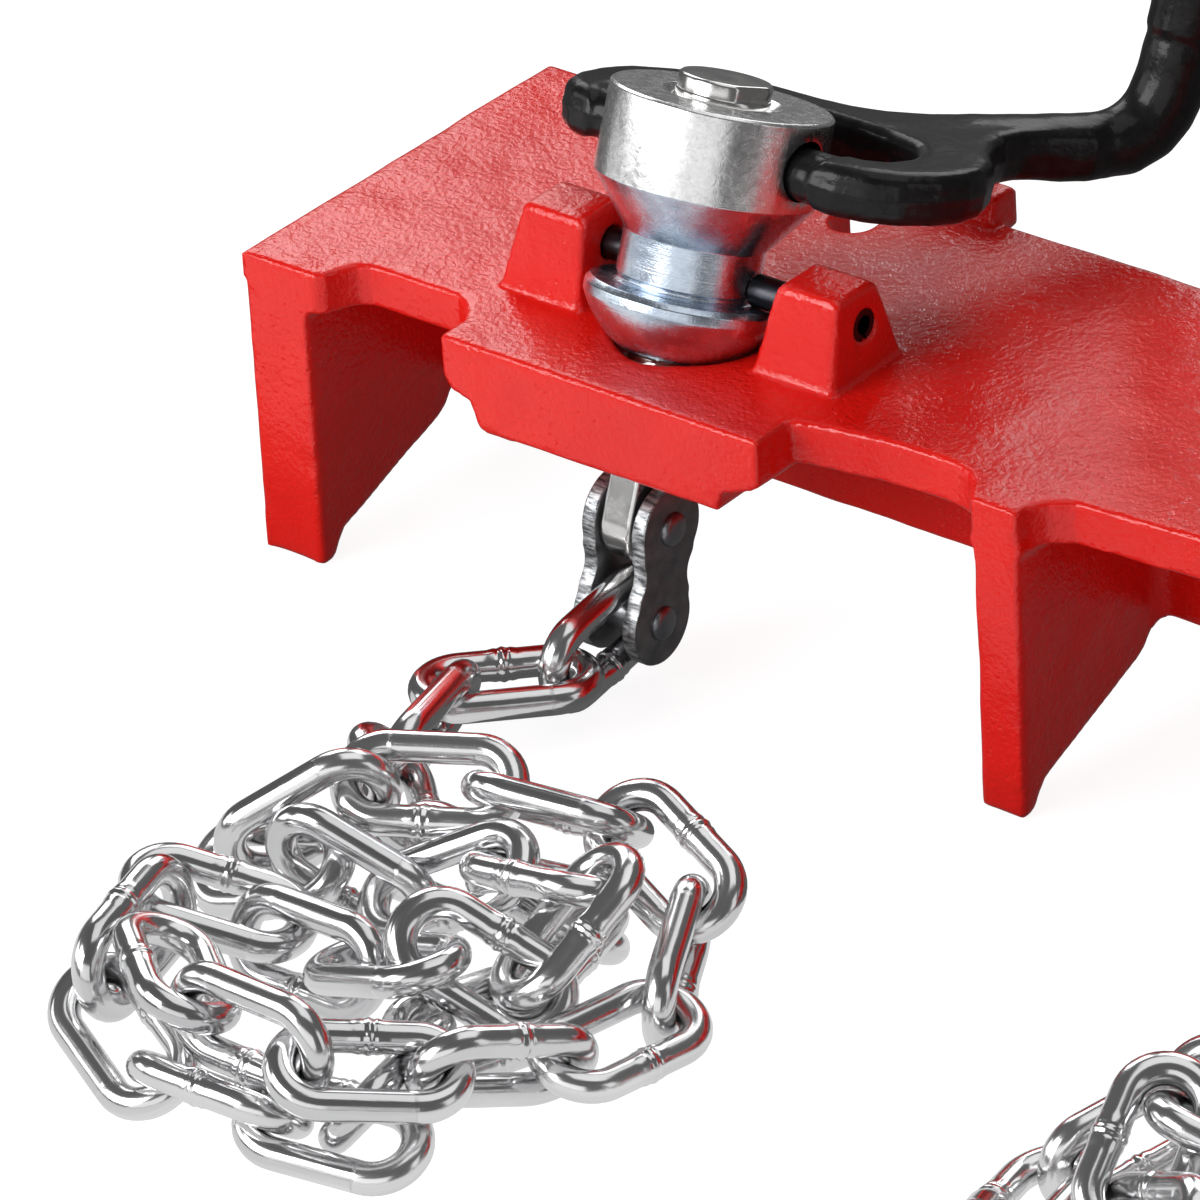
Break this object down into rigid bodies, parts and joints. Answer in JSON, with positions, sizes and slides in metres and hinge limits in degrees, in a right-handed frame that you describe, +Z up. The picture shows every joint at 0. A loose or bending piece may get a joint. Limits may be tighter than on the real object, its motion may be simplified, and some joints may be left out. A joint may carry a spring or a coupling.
{
  "type": "pipe welding vise",
  "caption": "Cast frame on notched webs with tilted swivel nuts, clamp screws, folding crank handles and link chains that wrap round a pipe and hook back on to the plate.",
  "frame": {"origin": "on the floor, at the middle of the whole footprint, chains included", "axes": "+X along the frame, +Y towards the chain hooks, +Z up; the chains lie on the -Y side"},
  "size_m": [0.44, 0.3334, 0.1927],
  "materials": {
    "red_casting": "gloss powder coat with orange peel",
    "bright_plated_steel": "bright zinc over turned and scratched steel",
    "bright_screw_steel": "bright turned steel",
    "black_forging": "satin-gloss black paint over a forging",
    "oxide_plate": "dark oxide with worn bright edges",
    "dark_pin_steel": "grey steel, peened ends",
    "zinc_chain": "bright zinc on drawn wire"
  },
  "bodies": {
    "frame": {"frame_casting": "red_casting", "left_keeper_pins": "dark_pin_steel", "right_keeper_pins": "dark_pin_steel"},
    "left_nut": {"left_swivel_nut": "bright_plated_steel"},
    "left_screw": {"left_clamp_screw": "bright_screw_steel"},
    "left_handle": {"left_crank_handle": "black_forging"},
    "left_shackle": {"left_shackle_plate_a": "oxide_plate", "left_shackle_plate_b": "oxide_plate", "left_tongue_pin": "dark_pin_steel", "left_chain_pin": "dark_pin_steel"},
    "left_link_1": {"left_first_link": "zinc_chain"},
    "left_link_2": {"left_second_link": "zinc_chain"},
    "left_loose_links": {"left_chain": "zinc_chain"},
    "right_nut": {"right_swivel_nut": "bright_plated_steel"},
    "right_screw": {"right_clamp_screw": "bright_screw_steel"},
    "right_handle": {"right_crank_handle": "black_forging"},
    "right_shackle": {"right_shackle_plate_a": "oxide_plate", "right_shackle_plate_b": "oxide_plate", "right_tongue_pin": "dark_pin_steel", "right_chain_pin": "dark_pin_steel"},
    "right_link_1": {"right_first_link": "zinc_chain"},
    "right_link_2": {"right_second_link": "zinc_chain"},
    "right_loose_links": {"right_chain": "zinc_chain"}
  },
  "joints": [
    {"name": "left_nut_spin", "type": "hinge", "parent": "frame", "child": "left_nut", "pos_m": [-0.12975, 0.0379, 0.0892], "axis": [0, -0.3746, -0.9272], "range_deg": [0, 1800]},
    {"name": "left_screw_travel", "type": "slide", "parent": "frame", "child": "left_screw", "axis": [0, 0.3746, 0.9272], "range_m": [0, 0.0201]},
    {"name": "left_handle_swing", "type": "hinge", "parent": "left_nut", "child": "left_handle", "pos_m": [-0.12975, 0.04187, 0.09843], "axis": [1, 0, 0], "range_deg": [0, 150]},
    {"name": "left_shackle_swing", "type": "hinge", "parent": "left_screw", "child": "left_shackle", "pos_m": [-0.12975, 0.01471, 0.03181], "axis": [1, 0, 0], "range_deg": [-20, 0]},
    {"name": "left_link_1_swing", "type": "hinge", "parent": "left_shackle", "child": "left_link_1", "pos_m": [-0.12975, 0.01048, 0.01349], "axis": [1, 0, 0], "range_deg": [-20, 0]},
    {"name": "left_link_2_swing", "type": "hinge", "parent": "left_link_1", "child": "left_link_2", "pos_m": [-0.12975, -0.013, 0.0098], "axis": [1, 0, 0], "range_deg": [-5, 0]},
    {"name": "left_chain_swing", "type": "hinge", "parent": "left_link_2", "child": "left_loose_links", "pos_m": [-0.14264, -0.02556, 0.0104], "axis": [1, 0, 0], "range_deg": [-10, 0]},
    {"name": "right_nut_spin", "type": "hinge", "parent": "frame", "child": "right_nut", "pos_m": [0.12975, 0.0379, 0.0892], "axis": [0, -0.3746, -0.9272], "range_deg": [0, 1800]},
    {"name": "right_screw_travel", "type": "slide", "parent": "frame", "child": "right_screw", "axis": [0, 0.3746, 0.9272], "range_m": [0, 0.0201]},
    {"name": "right_handle_swing", "type": "hinge", "parent": "right_nut", "child": "right_handle", "pos_m": [0.12975, 0.04187, 0.09843], "axis": [1, 0, 0], "range_deg": [0, 150]},
    {"name": "right_shackle_swing", "type": "hinge", "parent": "right_screw", "child": "right_shackle", "pos_m": [0.12975, 0.01471, 0.03181], "axis": [1, 0, 0], "range_deg": [-20, 0]},
    {"name": "right_link_1_swing", "type": "hinge", "parent": "right_shackle", "child": "right_link_1", "pos_m": [0.12975, 0.01048, 0.01349], "axis": [1, 0, 0], "range_deg": [-20, 0]},
    {"name": "right_link_2_swing", "type": "hinge", "parent": "right_link_1", "child": "right_link_2", "pos_m": [0.12975, -0.013, 0.0098], "axis": [1, 0, 0], "range_deg": [-5, 0]},
    {"name": "right_chain_swing", "type": "hinge", "parent": "right_link_2", "child": "right_loose_links", "pos_m": [0.14264, -0.02556, 0.0104], "axis": [1, 0, 0], "range_deg": [-10, 0]}
  ],
  "couplings": [
    {"joint": "left_screw_travel", "follows": "left_nut_spin", "m_per_rad": 0.00063662},
    {"joint": "right_screw_travel", "follows": "right_nut_spin", "m_per_rad": 0.00063662}
  ]
}
